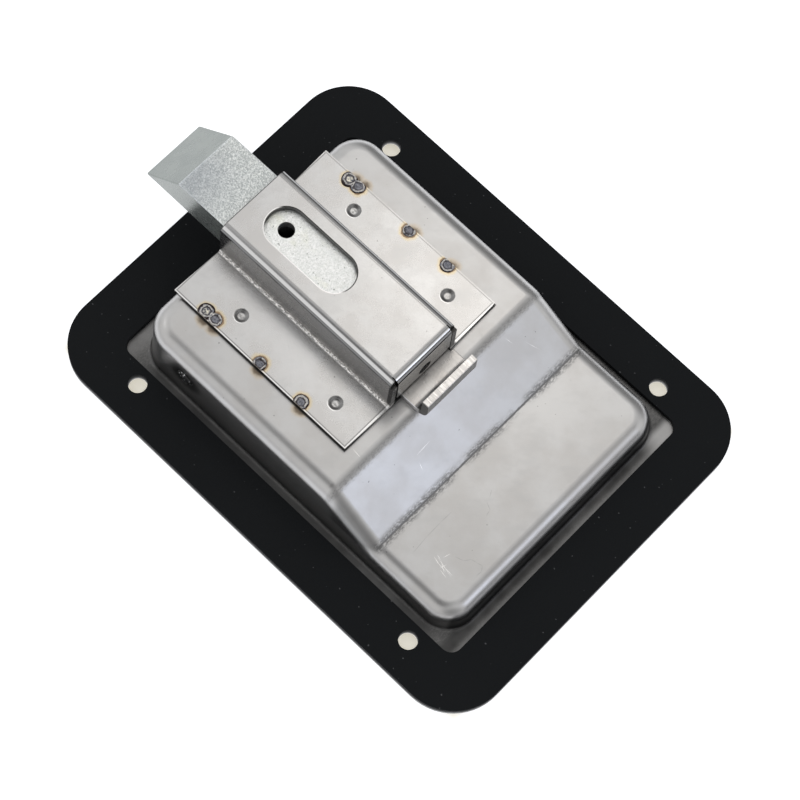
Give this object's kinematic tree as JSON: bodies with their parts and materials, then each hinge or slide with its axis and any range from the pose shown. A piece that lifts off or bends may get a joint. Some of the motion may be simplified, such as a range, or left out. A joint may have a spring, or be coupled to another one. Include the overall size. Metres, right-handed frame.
{
  "type": "panel lock",
  "caption": "Recessed panel lock with a stepped dish, flange gasket, folding front paddle, keyed cylinder and a spring-loaded beveled slam bolt in a welded rear housing.",
  "frame": {"origin": "centre of the four mounting holes, on the gasket's sealing face", "axes": "+Z out of the rear of the lock, +X the way the bolt throws, +Y across the bolt"},
  "size_m": [0.1485, 0.108, 0.0351],
  "materials": {
    "stainless_sheet": "satin",
    "gasket_rubber": "matte",
    "zinc_plated_steel": "satin",
    "tab_steel": "satin",
    "spring_steel": "satin",
    "pin_steel": "satin",
    "chromed_zinc": "polished",
    "wafer_brass": "satin"
  },
  "bodies": {
    "dish": {"dish_plate": "stainless_sheet", "gasket": "gasket_rubber", "bolt_housing": "stainless_sheet", "bolt_spring": "spring_steel", "hinge_pin": "pin_steel", "pin_clips": "spring_steel", "paddle_spring": "spring_steel", "cam_keeper": "stainless_sheet"},
    "bolt": {"slam_bolt": "zinc_plated_steel", "release_tab": "tab_steel", "tab_rivets": "tab_steel", "spring_guide_rod": "zinc_plated_steel"},
    "paddle": {"paddle_plate": "stainless_sheet", "lever_arm": "zinc_plated_steel", "lever_rivets": "pin_steel", "lock_body": "chromed_zinc", "lock_washer": "spring_steel", "lock_nut": "zinc_plated_steel"},
    "key_plug": {"lock_plug": "chromed_zinc", "wafers": "wafer_brass", "cam": "zinc_plated_steel", "cam_washer": "spring_steel", "cam_screw": "zinc_plated_steel"}
  },
  "joints": [
    {"name": "paddle_lift", "type": "hinge", "parent": "dish", "child": "paddle", "pos_m": [0.0365, 0, 0.0085], "axis": [0, -1, 0], "range_deg": [0, 46.4], "stiffness_Nm_per_rad": 0.995, "springref_deg": -21.2, "deforming": ["paddle_spring"]},
    {"name": "bolt_slide", "type": "slide", "parent": "dish", "child": "bolt", "axis": [-1, 0, 0], "range_m": [0, 0.013], "deforming": ["bolt_spring"]},
    {"name": "key_turn", "type": "hinge", "parent": "paddle", "child": "key_plug", "pos_m": [0.006, 0, 0], "axis": [0, 0, -1], "range_deg": [0, 90]}
  ],
  "couplings": [
    {"joint": "bolt_slide", "follows": "paddle_lift", "m_per_rad": 0.016053}
  ]
}
